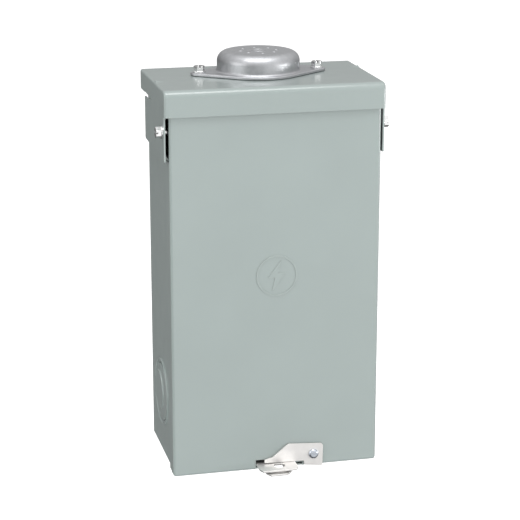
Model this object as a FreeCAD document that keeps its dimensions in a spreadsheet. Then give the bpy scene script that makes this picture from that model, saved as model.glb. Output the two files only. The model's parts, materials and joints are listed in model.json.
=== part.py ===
import FreeCAD, Part
import math
import os
import re
import Sketcher

# Outdoor (rainproof) residential load center, main-lug type, six breaker spaces.
# Frame: millimetres, +Z up, the door faces -Y, the back lies on the wall plane Y = 0.
# The origin is the centre of the back, half way up the enclosure.

doc = FreeCAD.newDocument("load_center")

DIMENSIONS = {
    # enclosure
    "box_sheet": 1.4,
    "box_half": 84.5,
    "box_front": -101.5,
    "box_bottom": -160,
    "box_lip": 8,
    "box_bend": 2.4,
    "end_flange": 12,
    "end_lip_inset": 12,
    "end_lip_drop": 6,
    "corner_relief": 3,
    "notch_back": -70,
    "notch_bottom": 104,
    # hood
    "skin": 1.3,
    "hood_half": 90.2,
    "hood_front": -107,
    "hood_top": 161,
    "hood_bend": 5.5,
    "hood_edge": 1.9,
    "skirt_bottom": 140,
    "flange_bottom": 145,
    "ear_bottom": 103.6,
    "ear_rise": 3.2,
    "ear_front": -103.4,
    "ear_back": -19,
    "relief_front": -50,
    "relief_height": 3.2,
    "dart_height": 1.0,
    "dart_length": 9.5,
    "dart_radius": 6,
    # hub opening and its closing plate
    "hub_centre": 0.8,
    "hub_depth": -40.5,
    "hub_opening": 58,
    "dome_radius": 34,
    "dome_height": 18.6,
    "dome_shoulder": 8,
    "dome_wall": 2.6,
    "mark_rise": 0.4,
    "mark_ring": 12,
    "mark_line": 1.2,
    "mark_circle": 30,
    "mark_dot": 3,
    "plate_radius": 37,
    "plate_thick": 2.2,
    "tip_radius": 7,
    "hub_screw_offset": 49.5,
    "gasket_thick": 0.4,
    # door
    "door_left": -86.2,
    "door_right": 87.6,
    "door_front": -104.3,
    "door_bottom": -162.3,
    "door_top": 147,
    "door_flange": 16,
    "door_foot": 9,
    "door_bend": 2.2,
    "door_corner": 2.4,
    "door_inner_corner": 1,
    "door_notch_left": -16.5,
    "door_notch_right": 23.7,
    "door_notch_top": -153.8,
    "door_side_top": 103,
    "emblem_across": 1,
    "emblem_height": 5.5,
    "emblem_rise": 0.5,
    "emblem_ring": 34,
    "emblem_line": 1,
    "card_half": 55,
    "card_low": -70,
    "card_high": 80,
    "card_thick": 0.4,
    # hinge
    "pivot_depth": -96,
    "pivot_height": 127,
    "pivot_sleeve": 6.4,
    "pivot_play": 0.1,
    "pivot_collar": 9.5,
    "pivot_collar_thick": 1,
    "hinge_nut": 9.5,
    "hinge_nut_thick": 4,
    "bracket_half": 80.9,
    "bracket_foot": 15,
    "bracket_reach": 8,
    "bracket_rise": 12,
    # hex washer head screws, one size for every machine screw
    "screw_shank": 4.8,
    "screw_across": 9.2,
    "screw_head": 4.2,
    "screw_washer": 10.6,
    "screw_washer_thick": 1.1,
    "screw_slot": 1.2,
    # latch and hasp
    "latch_thick": 1.5,
    "latch_gap": 0.4,
    "latch_pivot_across": 32.7,
    "latch_pivot_height": -151.5,
    "latch_left": -9.4,
    "latch_right": 41,
    "latch_top": -141,
    "latch_top_left": 11.7,
    "latch_slope": 2,
    "latch_arm_low": -156.3,
    "latch_foot_left": 24.6,
    "latch_foot_low": -162.9,
    "washer_diameter": 10,
    "washer_thick": 0.3,
    "rivet_shank": 5,
    "rivet_head": 8.4,
    "rivet_rise": 2.2,
    "hasp_left": -16,
    "hasp_right": 16.9,
    "hasp_front": -121.7,
    "hasp_back": -74,
    "hasp_thick": 1.5,
    "hasp_hole": 9.5,
    "hasp_hole_across": 2,
    "hasp_hole_depth": -111.5,
    "hasp_rivet_spread": 8,
    "hasp_rivet_shank": 4,
    "hasp_rivet_head": 7.4,
    "hasp_rivet_rise": 1.2,
    # knockouts
    "side_knockout": 50.3,
    "side_knockout_depth": -46.5,
    "side_knockout_height": -107.3,
    "side_inner_shift": 7,
    "inner_knockout": 34.6,
    "small_knockout": 22.2,
    "knockout_line": 0.8,
    "knockout_web": 0.4,
    "knockout_rise": 0.8,
    "back_knockout": 28.2,
    "bottom_knockout_left": -45,
    "bottom_knockout_middle": 15,
    "bottom_knockout_right": 56,
    "back_knockout_height": 128,
    # wall fixing
    "wall_hole": 7.1,
    "wall_hole_across": 57.15,
    "wall_hole_height": 114.3,
    # interior
    "pan_half": 46,
    "pan_reach": 109,
    "pan_face": -13.4,
    "pan_sheet": 1.4,
    "post_across": 38,
    "post_height": 102,
    "pole_pitch": 19.05,
    "first_pole": 47.625,
    "breaker_half": 38,
    "breaker_foot": -24.5,
    "breaker_shoulder": -78,
    "breaker_face": -87.5,
    "breaker_nose": 23,
    "breaker_gap": 0.4,
    "breaker_corner_depth": -66,
    "breaker_terminal_depth": -60,
    "terminal_block": -66,
    "terminal_across": -33,
    "terminal_screw": 5,
    "jaw_reach": 13,
    "jaw_thick": 1.2,
    "jaw_gap": 2.1,
    "handle_pivot_depth": -80,
    "handle_radius": 8,
    "handle_reach": 17.5,
    "handle_thick": 5,
    "handle_width": 8,
    "handle_tilt": 20,
    "bus_thick": 2,
    "bus_rear": -20,
    "bus_low": -62,
    "bus_high": 94,
    "bus_left": 10,
    "bus_right": 36,
    "bus_width": 8,
    "stab_across": 23,
    "stab_half": 5,
    "stab_reach": 12,
    "stab_thick": 2,
    "stab_arm": 9,
    "insulator_left": 4,
    "insulator_right": 42,
    "insulator_low": -66,
    "insulator_high": 96,
    "lug_width": 15,
    "lug_reach": 17,
    "lug_low": 68,
    "lug_high": 92,
    "lug_screw_height": 80,
    "lug_wire": 9.5,
    "lug_wire_depth": 8,
    "lug_screw": 7.5,
    "lug_key": 4.8,
    "rail_left": -42,
    "rail_right": -30,
    "rail_half": 60,
    "rail_reach": 5.5,
    "neutral_across": -64,
    "neutral_rear": -24,
    "neutral_low": -66,
    "neutral_high": 84,
    "neutral_lug_low": 62,
    "neutral_lug_high": 84,
    "neutral_lug_screw": 73,
    "strap_low": -80,
    "strap_thick": 1.5,
    "ground_low": -70,
    "ground_high": 42,
    "ground_across": 64,
    "bar_size": 10,
    "bar_screw_pitch": 9.5,
    "deadfront_half": 73.5,
    "deadfront_front": -84,
    "deadfront_top": 112,
    "deadfront_bottom": -152,
    "cover_screw_across": 68,
    "cover_screw_high": 96,
    "cover_screw_low": -132,
}

sheet = doc.addObject("Spreadsheet::Sheet", "Dims")
for row, (alias, size) in enumerate(DIMENSIONS.items(), start=1):
    sheet.set(f"A{row}", alias)
    sheet.set(f"B{row}", str(size))
    sheet.setAlias(f"B{row}", alias)
doc.recompute()

WORD = re.compile(r"[a-z][a-z_]*")
AXIS_TURN = {
    "X": FreeCAD.Rotation(FreeCAD.Vector(0, 1, 0), 90),
    "Y": FreeCAD.Rotation(FreeCAD.Vector(1, 0, 0), -90),
    "Z": FreeCAD.Rotation(),
    "-X": FreeCAD.Rotation(FreeCAD.Vector(0, 1, 0), -90),
    "-Y": FreeCAD.Rotation(FreeCAD.Vector(1, 0, 0), 90),
    "-Z": FreeCAD.Rotation(FreeCAD.Vector(1, 0, 0), 180),
}
subparts = []


def formula(text):
    """Turn a formula of dimension names into an expression on the sheet."""
    return WORD.sub(lambda m: "Dims." + m.group() if m.group() in DIMENSIONS else m.group(), str(text))


def bind(feature, prop, text):
    feature.setExpression(prop, formula(text))


def place(feature, x=0, y=0, z=0, turn=None):
    """Put a feature at a bound position, with an optional fixed rotation."""
    if turn is not None:
        feature.Placement = FreeCAD.Placement(FreeCAD.Vector(), turn)
    for letter, text in zip("xyz", (x, y, z)):
        bind(feature, "Placement.Base." + letter, text)
    return feature


def box(x, y, z):
    """Block between two formulas along each axis."""
    block = doc.addObject("Part::Box", "block")
    for prop, (low, high) in zip(("Length", "Width", "Height"), (x, y, z)):
        bind(block, prop, f"({high}) - ({low})")
    return place(block, x[0], y[0], z[0])


def rod(axis, centre, span, diameter):
    """Cylinder along an axis. The centre gives its other two coordinates in X, Y, Z order."""
    cylinder = doc.addObject("Part::Cylinder", "rod")
    bind(cylinder, "Radius", f"({diameter}) / 2")
    bind(cylinder, "Height", f"({span[1]}) - ({span[0]})")
    spots = list(centre)
    spots.insert("XYZ".index(axis), span[0])
    return place(cylinder, *spots, turn=AXIS_TURN[axis])


def fuse(*shapes):
    result = doc.addObject("Part::MultiFuse", "fuse")
    result.Shapes = list(shapes)
    return result


def cut(base, *tools):
    result = doc.addObject("Part::Cut", "cut")
    result.Base = base
    result.Tool = tools[0] if len(tools) == 1 else fuse(*tools)
    return result


def common(base, tool):
    result = doc.addObject("Part::Common", "common")
    result.Base = base
    result.Tool = tool
    return result


def group(*solids):
    result = doc.addObject("Part::Compound", "group")
    result.Links = list(solids)
    return result


def ring(axis, centre, span, outer, line):
    """Circular groove tool: its outer diameter and the width of its line."""
    return cut(rod(axis, centre, span, outer), rod(axis, centre, span, f"({outer}) - 2 * ({line})"))


def straight(axis, **near):
    """Edge test: parallel to an axis, with the given coordinates at its middle."""
    def matches(edge):
        if edge.Curve.TypeId != "Part::GeomLine":
            return False
        run = edge.Vertexes[-1].Point - edge.Vertexes[0].Point
        if abs(getattr(run, axis)) < 0.99 * run.Length:
            return False
        middle = edge.CenterOfMass
        return all(min(abs(getattr(middle, k) - spot) for spot in spots) < 0.05
                   for k, spots in near.items())
    return matches


def rounded(base, *rules):
    """Fillet chosen edges. Each rule is (radius, edge test)."""
    doc.recompute()
    chosen = {}
    for number, edge in enumerate(base.Shape.Edges, start=1):
        for radius, matches in rules:
            if matches(edge):
                chosen[number] = radius
    if not chosen:
        raise RuntimeError("no edge to round on " + base.Name)
    result = doc.addObject("Part::Fillet", "rounded")
    result.Base = base
    result.Edges = [(number, radius, radius) for number, radius in chosen.items()]
    return result


def outline(body, plane, corners, level):
    """Closed sketch on one of the body's own planes, every corner bound to the sheet."""
    origin_plane = next(f for f in body.Origin.OriginFeatures if f.Role == plane + "_Plane")
    sketch = body.newObject("Sketcher::SketchObject", "outline")
    sketch.AttachmentSupport = [(origin_plane, "")]
    sketch.MapMode = "FlatFace"
    bind(sketch, "AttachmentOffset.Base.z", level)
    count = len(corners)
    start = [FreeCAD.Rotation(FreeCAD.Vector(0, 0, 1), 360 * i / count + 7).multVec(FreeCAD.Vector(9, 0, 0))
             for i in range(count)]
    for i in range(count):
        sketch.addGeometry(Part.LineSegment(start[i], start[(i + 1) % count]), False)
    for i in range(count):
        sketch.addConstraint(Sketcher.Constraint("Coincident", i, 2, (i + 1) % count, 1))
    for i, spots in enumerate(corners):
        for kind, spot, first in zip(("DistanceX", "DistanceY"), spots, (start[i].x, start[i].y)):
            number = sketch.addConstraint(Sketcher.Constraint(kind, -1, 1, i, 1, first))
            sketch.setExpression(f"Constraints[{number}]", formula(spot))
    return sketch


def prism(plane, corners, span):
    """Body padded from a closed outline. The span runs along the plane's axis, low to high."""
    body = doc.addObject("PartDesign::Body", "prism")
    towards_minus = plane == "XZ"
    level = f"-({span[1]})" if towards_minus else span[0]
    sketch = outline(body, plane, corners, level)
    pad = body.newObject("PartDesign::Pad", "pad")
    pad.Profile = sketch
    bind(pad, "Length", f"({span[1]}) - ({span[0]})")
    sketch.Visibility = False
    return body


def hex_screw(x, y, z, axis, shank, head="screw_head", across="screw_across"):
    """Slotted hex washer head screw. Its point under the head is at x, y, z and the shank
    runs along the axis."""
    stem = rod("Z", (0, 0), (0, shank), "screw_shank")
    washer = rod("Z", (0, 0), ("-screw_washer_thick", 0), "screw_washer")
    hexagon = doc.addObject("Part::Prism", "hexagon")
    hexagon.Polygon = 6
    bind(hexagon, "Circumradius", f"({across}) / 2")
    bind(hexagon, "Height", head)
    place(hexagon, 0, 0, f"-screw_washer_thick - ({head})")
    slot = box(("-screw_slot / 2", "screw_slot / 2"), (f"-({across})", across),
               (f"-screw_washer_thick - ({head}) - 1", f"-screw_washer_thick - ({head}) + 1.6"))
    return place(cut(fuse(stem, washer, hexagon), slot), x, y, z, turn=AXIS_TURN[axis])


def pan_screw(x, y, z, axis, shank, diameter, head, rise=2.2):
    """Slotted cheese head screw, placed like a hex screw."""
    stem = rod("Z", (0, 0), (0, shank), diameter)
    top = rod("Z", (0, 0), (-rise, 0), head)
    slot = box((-0.5, 0.5), (f"-({head})", head), (f"-{rise} - 1", f"-{rise} + 1"))
    return place(cut(fuse(stem, top), slot), x, y, z, turn=AXIS_TURN[axis])


def keep(label, feature):
    """Name a finished sub-part. The name is also its file's name."""
    feature.Label = label
    subparts.append(feature)
    return feature


def size(alias):
    return DIMENSIONS[alias]


BOTH_SIDES = (-1, 1)
MARK_COUNT = 8
hood_under = "hood_top - skin"


def knockout_rings(axis, centre, outer_face, inward, diameter):
    """Sheared line of one knockout, cut into the sheet from outside and leaving a thin web."""
    depth = "(box_sheet - knockout_web)"
    span = (outer_face, f"{outer_face} + {depth}") if inward > 0 else (f"{outer_face} - {depth}", outer_face)
    return ring(axis, centre, span, diameter, "knockout_line")


def make_enclosure_wrapper():
    """Back and both sides, one bent sheet, with front lips, knockouts and wall screw holes."""
    half = size("box_half")
    outer = box(("-box_half", "box_half"), ("box_front", 0), ("box_bottom", hood_under))
    outer = rounded(outer, (size("box_bend"), straight("z", x=(-half, half), y=(0,))))
    inner = box(("-box_half + box_sheet", "box_half - box_sheet"), ("box_front - 1", "-box_sheet"),
                ("box_bottom - 1", "hood_top + 1"))
    inner_half = half - size("box_sheet")
    inner = rounded(inner, (size("box_bend") - size("box_sheet"),
                            straight("z", x=(-inner_half, inner_half), y=(-size("box_sheet"),))))
    shell = cut(outer, inner)
    lips, slugs = [], []
    tools = [box(("-box_half - 1", "box_half + 1"), ("box_front - 1", "notch_back"),
                 ("notch_bottom", "hood_top + 1"))]
    for side in BOTH_SIDES:
        near, far = f"{side} * (box_half - box_sheet - box_lip)", f"{side} * (box_half - box_sheet)"
        span = (near, far) if side > 0 else (far, near)
        lips.append(box(span, ("box_front", "box_front + box_sheet"),
                        ("box_bottom + box_sheet", "notch_bottom - 1")))
        centre = ("side_knockout_depth", "side_knockout_height")
        shifted = ("side_knockout_depth + side_inner_shift", "side_knockout_height")
        for spot, diameter, steps in ((centre, "side_knockout", 1), (shifted, "inner_knockout", 2)):
            tools.append(knockout_rings("X", spot, f"{side} * box_half", -side, diameter))
            ends = (f"{side} * box_half", f"{side} * (box_half + {steps} * knockout_rise)")
            slugs.append(rod("X", spot, ends if side > 0 else ends[::-1], f"{diameter} - 2 * knockout_line"))
        for level in BOTH_SIDES:
            tools.append(rod("Y", (f"{side} * wall_hole_across", f"{level} * wall_hole_height"),
                             ("-box_sheet - 1", 1), "wall_hole"))
    for level in BOTH_SIDES:
        tools.append(knockout_rings("Y", (0, f"{level} * back_knockout_height"), "0", -1, "back_knockout"))
    keep("enclosure_wrapper", fuse(cut(fuse(shell, *lips), *tools), *slugs))


def end_wall(face_low, flange_low, flange_high, side_front, front_lip):
    """End wall between the sides, with flanges turned along the back and both sides."""
    inner = "(box_half - box_sheet)"
    rear = "-box_sheet"
    face = box((f"-{inner}", inner), ("box_front + box_sheet", rear), (face_low, f"{face_low} + box_sheet"))
    face = rounded(face, (size("box_bend") - size("box_sheet"), straight("z", y=(-size("box_sheet"),))))
    pieces = [face, box((f"-{inner} + corner_relief", f"{inner} - corner_relief"), (f"{rear} - box_sheet", rear),
                        (flange_low, flange_high))]
    for side in BOTH_SIDES:
        ends = (f"{side} * {inner}", f"{side} * ({inner} - box_sheet)")
        span = ends if side < 0 else ends[::-1]
        pieces.append(box(span, (side_front, f"{rear} - corner_relief"), (flange_low, flange_high)))
    pieces.append(front_lip)
    return fuse(*pieces)


def make_enclosure_top_wall():
    """Inner top wall under the hood. It carries the hub opening."""
    low = "(hood_top - skin - box_sheet)"
    lip = box(("-box_half + end_lip_inset", "box_half - end_lip_inset"),
              ("box_front + box_sheet", "box_front + 2 * box_sheet"), (f"{low} - end_lip_drop", f"{low} + box_sheet"))
    wall = end_wall(low, f"{low} - end_flange", f"{low} + box_sheet", "notch_back + 1", lip)
    holes = [rod("Z", ("hub_centre", "hub_depth"), (f"{low} - 1", "hood_top"), "hub_opening")]
    for side in BOTH_SIDES:
        holes.append(rod("Z", (f"hub_centre + {side} * hub_screw_offset", "hub_depth"),
                         (f"{low} - 1", "hood_top"), "screw_shank"))
    keep("enclosure_top_wall", cut(wall, *holes))


def hasp_rivet_spot(side):
    return (f"hasp_hole_across + {side} * hasp_rivet_spread", "hasp_back + hasp_rivet_spread")


def make_enclosure_bottom_wall():
    """Bottom wall with conduit knockouts. Its front lip is open where the hasp passes."""
    low = "box_bottom"
    lip = box(("-box_half + end_lip_inset - 2", "box_half - end_lip_inset + 2"),
              ("box_front", "box_front + box_sheet"),
              (low, f"{low} + end_flange"))
    wall = end_wall(low, low, f"{low} + end_flange", "box_front + 4", lip)
    tools = [box(("hasp_left - 2", "hasp_right + 0.6"), ("box_front - 1", "box_front + box_sheet + 0.1"),
                 ("box_bottom + box_sheet", "box_bottom + end_flange - 2"))]
    for spot, diameters in (("left", ("side_knockout", "inner_knockout")),
                            ("middle", ("inner_knockout", "small_knockout")), ("right", ("small_knockout",))):
        for diameter in diameters:
            tools.append(knockout_rings("Z", ("bottom_knockout_" + spot, "side_knockout_depth"), low, 1, diameter))
    for side in BOTH_SIDES:
        tools.append(rod("Z", hasp_rivet_spot(side), (f"{low} - 1", f"{low} + 3"), "hasp_rivet_shank"))
    keep("enclosure_bottom_wall", cut(wall, *tools))


def hood_block(inset):
    """Hood's outer block, or its hollow when inset by the sheet's thickness."""
    half, front, top = size("hood_half") - inset, size("hood_front") + inset, size("hood_top") - inset
    rear = "0" if inset == 0 else "1"
    low = "ear_bottom" if inset == 0 else "ear_bottom - 1"
    gap = "skin" if inset else "0"
    block = box((f"-hood_half + {gap}", f"hood_half - {gap}"), (f"hood_front + {gap}", rear),
                (low, f"hood_top - {gap}"))
    edge = size("hood_edge") - inset
    return rounded(block, (size("hood_bend") - inset, straight("x", y=(front,), z=(top,))),
                   (edge, straight("y", x=(-half, half), z=(top,))),
                   (edge, straight("z", x=(-half, half), y=(front,))))


def hood_dart(side, depth):
    """Small pressed ridge that stiffens the hood's bend."""
    cone = doc.addObject("Part::Cone", "dart")
    bind(cone, "Radius1", "dart_radius")
    bind(cone, "Radius2", "dart_radius - dart_height")
    bind(cone, "Height", "dart_length")
    turn = AXIS_TURN["X"] if side < 0 else AXIS_TURN["-X"]
    place(cone, f"{side} * (hood_half - 1.2)", depth, "hood_top - dart_radius + dart_height", turn=turn)
    above = box(("-hood_half", "hood_half"), ("hood_front", 0), ("hood_top - 0.5", "hood_top + 2"))
    return common(cone, above)


def make_top_hood():
    """Rain hood: top, front skirt and side flanges whose ears carry the door."""
    shell = cut(hood_block(0), hood_block(size("skin")))
    everything = ("-hood_half - 1", "hood_half + 1")
    tools = [
        box(everything, ("hood_front - 1", "ear_front"), ("ear_bottom - 1", "skirt_bottom")),
        box(everything, ("ear_back", 1), ("ear_bottom - 1", "flange_bottom")),
        prism("YZ", (("relief_front", "flange_bottom - 0.4"), ("relief_front", "flange_bottom"),
                     ("ear_back + 1", "flange_bottom + 0.6"),
                     ("ear_back + 1", "flange_bottom - relief_height"),
                     ("ear_back - 9", "flange_bottom - relief_height")),
              ("-hood_half - 1", "hood_half + 1")),
        prism("YZ", (("ear_front", "ear_bottom"), ("ear_back", "ear_bottom + ear_rise"),
                     ("ear_back + 1", "ear_bottom + ear_rise"), ("ear_back + 1", "ear_bottom - 1"),
                     ("ear_front", "ear_bottom - 1")),
              ("-hood_half - 1", "hood_half + 1")),
        rod("Z", ("hub_centre", "hub_depth"), ("hood_top - 3", "hood_top + 1"), "hub_opening"),
        rod("X", ("pivot_depth", "pivot_height"), everything, "screw_shank"),
    ]
    for side in BOTH_SIDES:
        tools.append(rod("Z", (f"hub_centre + {side} * hub_screw_offset", "hub_depth"),
                         ("hood_top - 3", "hood_top + 1"), "screw_shank"))
    hood = cut(shell, *tools)
    hood = rounded(hood, (1.6, straight("x", y=(size("ear_back"),), z=(size("ear_bottom") + size("ear_rise"),))),
                   (1.5, straight("x", y=(size("ear_front"),), z=(size("ear_bottom"),))))
    keep("top_hood", fuse(hood, hood_dart(-1, -62.5), hood_dart(1, -30.5)))


def diamond(low, high, grow):
    """Two-screw flange outline: a large round joined by tangent lines to a small round at each tip."""
    big, tip = f"(plate_radius + {grow})", f"(tip_radius + {grow})"
    lean = "((plate_radius - tip_radius) / hub_screw_offset)"
    rise = "(sqrt(1 - ((plate_radius - tip_radius) / hub_screw_offset) ^ 2))"
    corners = []
    for across, along in ((1, 1), (-1, 1), (-1, -1), (1, -1)):
        at_round = (f"hub_centre + {across} * {big} * {lean}", f"hub_depth + {along} * {big} * {rise}")
        at_tip = (f"hub_centre + {across} * (hub_screw_offset + {tip} * {lean})",
                  f"hub_depth + {along} * {tip} * {rise}")
        corners += [at_tip, at_round] if across == along else [at_round, at_tip]
    pieces = [prism("XY", corners, (low, high)), rod("Z", ("hub_centre", "hub_depth"), (low, high), f"2 * {big}")]
    for side in BOTH_SIDES:
        pieces.append(rod("Z", (f"hub_centre + {side} * hub_screw_offset", "hub_depth"), (low, high), f"2 * {tip}"))
    return fuse(*pieces)


def hub_screw_holes(low, high):
    return [rod("Z", (f"hub_centre + {side} * hub_screw_offset", "hub_depth"), (low, high), "screw_shank")
            for side in BOTH_SIDES]


def make_hub():
    """Hub opening's gasket, cast closing plate and its two screws."""
    centre = ("hub_centre", "hub_depth")
    seat = "(hood_top + gasket_thick)"
    gasket = cut(diamond("hood_top", seat, "-0.5"),
                 rod("Z", centre, ("hood_top - 1", f"{seat} + 1"), "hub_opening"),
                 *hub_screw_holes("hood_top - 1", f"{seat} + 1"))
    keep("hub_gasket", gasket)

    def top_rim(height):
        return lambda edge: edge.Curve.TypeId == "Part::GeomCircle" and abs(edge.CenterOfMass.z - height) < 0.01

    top, wall = size("hood_top") + size("dome_height"), size("dome_wall")
    dome = rounded(rod("Z", centre, (seat, "hood_top + dome_height"), "2 * dome_radius"),
                   (size("dome_shoulder"), top_rim(top)))
    hollow = rounded(rod("Z", centre, (f"{seat} - 1", "hood_top + dome_height - dome_wall"),
                         "2 * (dome_radius - dome_wall)"),
                     (size("dome_shoulder") - wall, top_rim(top - wall)))
    plate_top = size("hood_top") + size("gasket_thick") + size("plate_thick")
    flange = rounded(diamond(seat, f"{seat} + plate_thick", "0"),
                     (0.9, lambda edge: edge.BoundBox.ZLength < 0.01
                      and abs(edge.CenterOfMass.z - plate_top) < 0.01))
    mark_span = ("hood_top + dome_height - 0.2", "hood_top + dome_height + mark_rise")
    marks = [ring("Z", centre, mark_span, "mark_ring", "mark_line")]
    for step in range(MARK_COUNT):
        angle = math.radians(step * 360 / MARK_COUNT)
        spot = (f"hub_centre + mark_circle / 2 * {math.cos(angle)}",
                f"hub_depth + mark_circle / 2 * {math.sin(angle)}")
        marks.append(rod("Z", spot, mark_span, "mark_dot"))
    plate = cut(fuse(flange, dome, *marks), hollow, *hub_screw_holes(f"{seat} - 1", f"{seat} + 6"))
    plate = rounded(plate, (2.0, lambda edge: edge.Curve.TypeId == "Part::GeomCircle"
                            and abs(edge.Curve.Radius - size("dome_radius")) < 0.01
                            and abs(edge.CenterOfMass.z - plate_top) < 0.01))
    keep("hub_closing_plate", plate)
    screws = [hex_screw(f"hub_centre + {side} * hub_screw_offset", "hub_depth", f"{seat} + plate_thick", "-Z",
                        "plate_thick + gasket_thick + skin + box_sheet + 5") for side in BOTH_SIDES]
    keep("hub_plate_screws", group(*screws))


def make_hinge():
    """On each side: a screw through the hood's ear, a flanged bushing, the door's bracket that
    turns on it, and a nut."""
    screws, bushings, nuts, brackets = [], [], [], []
    spot = ("pivot_depth", "pivot_height")
    bracket_inner = "(bracket_half - box_sheet)"
    nut_face = f"({bracket_inner} - 0.5)"
    door_inner = "(door_front + skin)"
    rise = ("pivot_height - bracket_rise", "pivot_height + bracket_rise")
    for side in BOTH_SIDES:
        def span(inner, outer):
            ends = (f"{side} * ({inner})", f"{side} * ({outer})")
            return ends if side > 0 else ends[::-1]
        bore = rod("X", spot, span(f"{nut_face} - 10", "hood_half"), "screw_shank")
        collar = rod("X", spot, span("bracket_half + 0.3", "bracket_half + 0.3 + pivot_collar_thick"), "pivot_collar")
        sleeve = rod("X", spot, span(nut_face, "bracket_half + 0.3"), "pivot_sleeve")
        bushings.append(cut(fuse(collar, sleeve), bore))
        hexagon = doc.addObject("Part::Prism", "nut")
        hexagon.Polygon = 6
        bind(hexagon, "Circumradius", "hinge_nut / 2")
        bind(hexagon, "Height", "hinge_nut_thick")
        place(hexagon, span(f"{nut_face} - hinge_nut_thick", nut_face)[0], *spot, turn=AXIS_TURN["X"])
        nuts.append(cut(hexagon, bore))
        screws.append(hex_screw(f"{side} * hood_half", *spot, "X" if side < 0 else "-X",
                                f"hood_half - {nut_face} + hinge_nut_thick"))
        cheek = box(span(bracket_inner, "bracket_half"), (door_inner, "pivot_depth + bracket_reach"), rise)
        foot = box(span("bracket_half - bracket_foot", "bracket_half"),
                   (door_inner, f"{door_inner} + box_sheet"), rise)
        hole = rod("X", spot, span(f"{bracket_inner} - 1", "bracket_half + 1"), "pivot_sleeve + 2 * pivot_play")
        brackets.append(cut(fuse(cheek, foot), hole))
    keep("hinge_screws", group(*screws))
    keep("hinge_bushings", group(*bushings))
    keep("hinge_nuts", group(*nuts))
    keep("door_hinge_brackets", group(*brackets))


def make_hasp():
    """Padlock hasp: one leaf inside the bottom wall and one under it, joined by two rivets. The
    shackle passes the round hole above and the slot below."""
    top = "(box_bottom + box_sheet)"
    leaf_front = "hasp_front"
    chamfer = 2.2
    upper = prism("XY", (("hasp_left", "hasp_back"), ("hasp_right", "hasp_back"),
                         ("hasp_right", f"{leaf_front} + {chamfer} + 3"),
                         (f"hasp_right - {chamfer}", leaf_front), (f"hasp_left + {chamfer}", leaf_front),
                         ("hasp_left", f"{leaf_front} + {chamfer} + 3")), (top, f"{top} + hasp_thick"))
    under_front = "(hasp_front - 2.1)"
    lower = prism("XY", (("hasp_left + 5.1", "hasp_back"), ("hasp_right - 6", "hasp_back"),
                         ("hasp_right - 6", f"{under_front} + 6"), ("hasp_right - 10.5", under_front),
                         ("hasp_left + 8.1", under_front), ("hasp_left + 5.1", f"{under_front} + 6")),
                  ("box_bottom - hasp_thick", "box_bottom"))
    through = ("box_bottom - 5", "box_bottom + 5")
    slot = box(("hasp_hole_across - hasp_hole / 2", "hasp_hole_across + hasp_hole / 2"),
               ("hasp_hole_depth", "box_front"), through)
    padlock = rod("Z", ("hasp_hole_across", "hasp_hole_depth"), through, "hasp_hole")
    rivets, holes = [], []
    for side in BOTH_SIDES:
        spot = hasp_rivet_spot(side)
        under, over = "box_bottom - hasp_thick", f"{top} + hasp_thick"
        holes.append(rod("Z", spot, through, "hasp_rivet_shank"))
        rivets.append(fuse(rod("Z", spot, (f"{under} - hasp_rivet_rise", f"{over} + hasp_rivet_rise"),
                               "hasp_rivet_shank"),
                           rod("Z", spot, (f"{under} - hasp_rivet_rise", under), "hasp_rivet_head"),
                           rod("Z", spot, (over, f"{over} + hasp_rivet_rise"), "hasp_rivet_head")))
    keep("hasp_upper_leaf", cut(upper, padlock, *holes))
    keep("hasp_lower_leaf", cut(lower, padlock, slot, *holes))
    keep("hasp_rivets", group(*rivets))


def make_door():
    """Lift-up door pan, with a hasp notch and a raised ring-and-bolt emblem. Its side flanges stop
    below the hood's ears."""
    left, right = size("door_left"), size("door_right")
    front, low = size("door_front"), size("door_bottom")
    bend, corner, skin = size("door_bend"), size("door_corner"), size("skin")
    rear = "(door_front + door_flange)"
    outer = box(("door_left", "door_right"), ("door_front", rear), ("door_bottom", "door_top"))
    outer = rounded(outer, (corner, straight("y", x=(left, right), z=(low,))))
    hollow = box(("door_left + skin", "door_right - skin"), ("door_front + skin", f"{rear} + 1"),
                 ("door_bottom + skin", "door_top - skin"))
    hollow = rounded(hollow, (size("door_inner_corner"),
                              straight("y", x=(left + skin, right - skin), z=(low + skin,))))

    def face_rim(edge):
        middle = edge.CenterOfMass
        flat = edge.BoundBox.YLength < 0.01
        return flat and abs(middle.y - front) < 0.01 and middle.z < size("door_top") - 0.01

    pan = cut(rounded(outer, (bend, face_rim)), hollow)
    everything = ("door_left - 1", "door_right + 1")
    tools = [
        box(everything, ("door_front + door_foot", f"{rear} + 1"), ("door_bottom - 1", "door_bottom + door_corner")),
        box(everything, ("door_front + door_bend", f"{rear} + 1"), ("door_side_top", "door_top - skin")),
        box(everything, ("door_front + 7", f"{rear} + 1"), ("door_top - 3", "door_top + 1")),
        box(("door_notch_left", "door_notch_right"), ("door_front - 1", "door_front + door_bend"),
            ("door_bottom - 1", "door_notch_top")),
        box(("hasp_left + 4.6", "hasp_right - 5.5"), ("door_front - 1", f"{rear} + 1"),
            ("door_bottom - 1", "door_bottom + door_bend")),
        rod("Y", ("latch_pivot_across", "latch_pivot_height"), ("door_front - 1", "door_front + 5"),
            "rivet_shank"),
    ]
    raised = ("door_front - emblem_rise", "door_front + 0.2")
    badge = ring("Y", ("emblem_across", "emblem_height"), raised, "emblem_ring", "emblem_line")
    outline = ((3.5, 12.5), (-7, -1.2), (-1.2, -1.2), (-3.8, -12.5), (7, 2), (1, 2))
    bolt = prism("XZ", tuple((f"emblem_across + ({across})", f"emblem_height + ({height})")
                             for across, height in outline), raised)
    keep("door_panel", fuse(cut(pan, *tools), badge, bolt))
    card_span = ("door_front + skin", "door_front + skin + card_thick")
    keep("directory_card", box(("-card_half", "card_half"), card_span, ("card_low", "card_high")))


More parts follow.
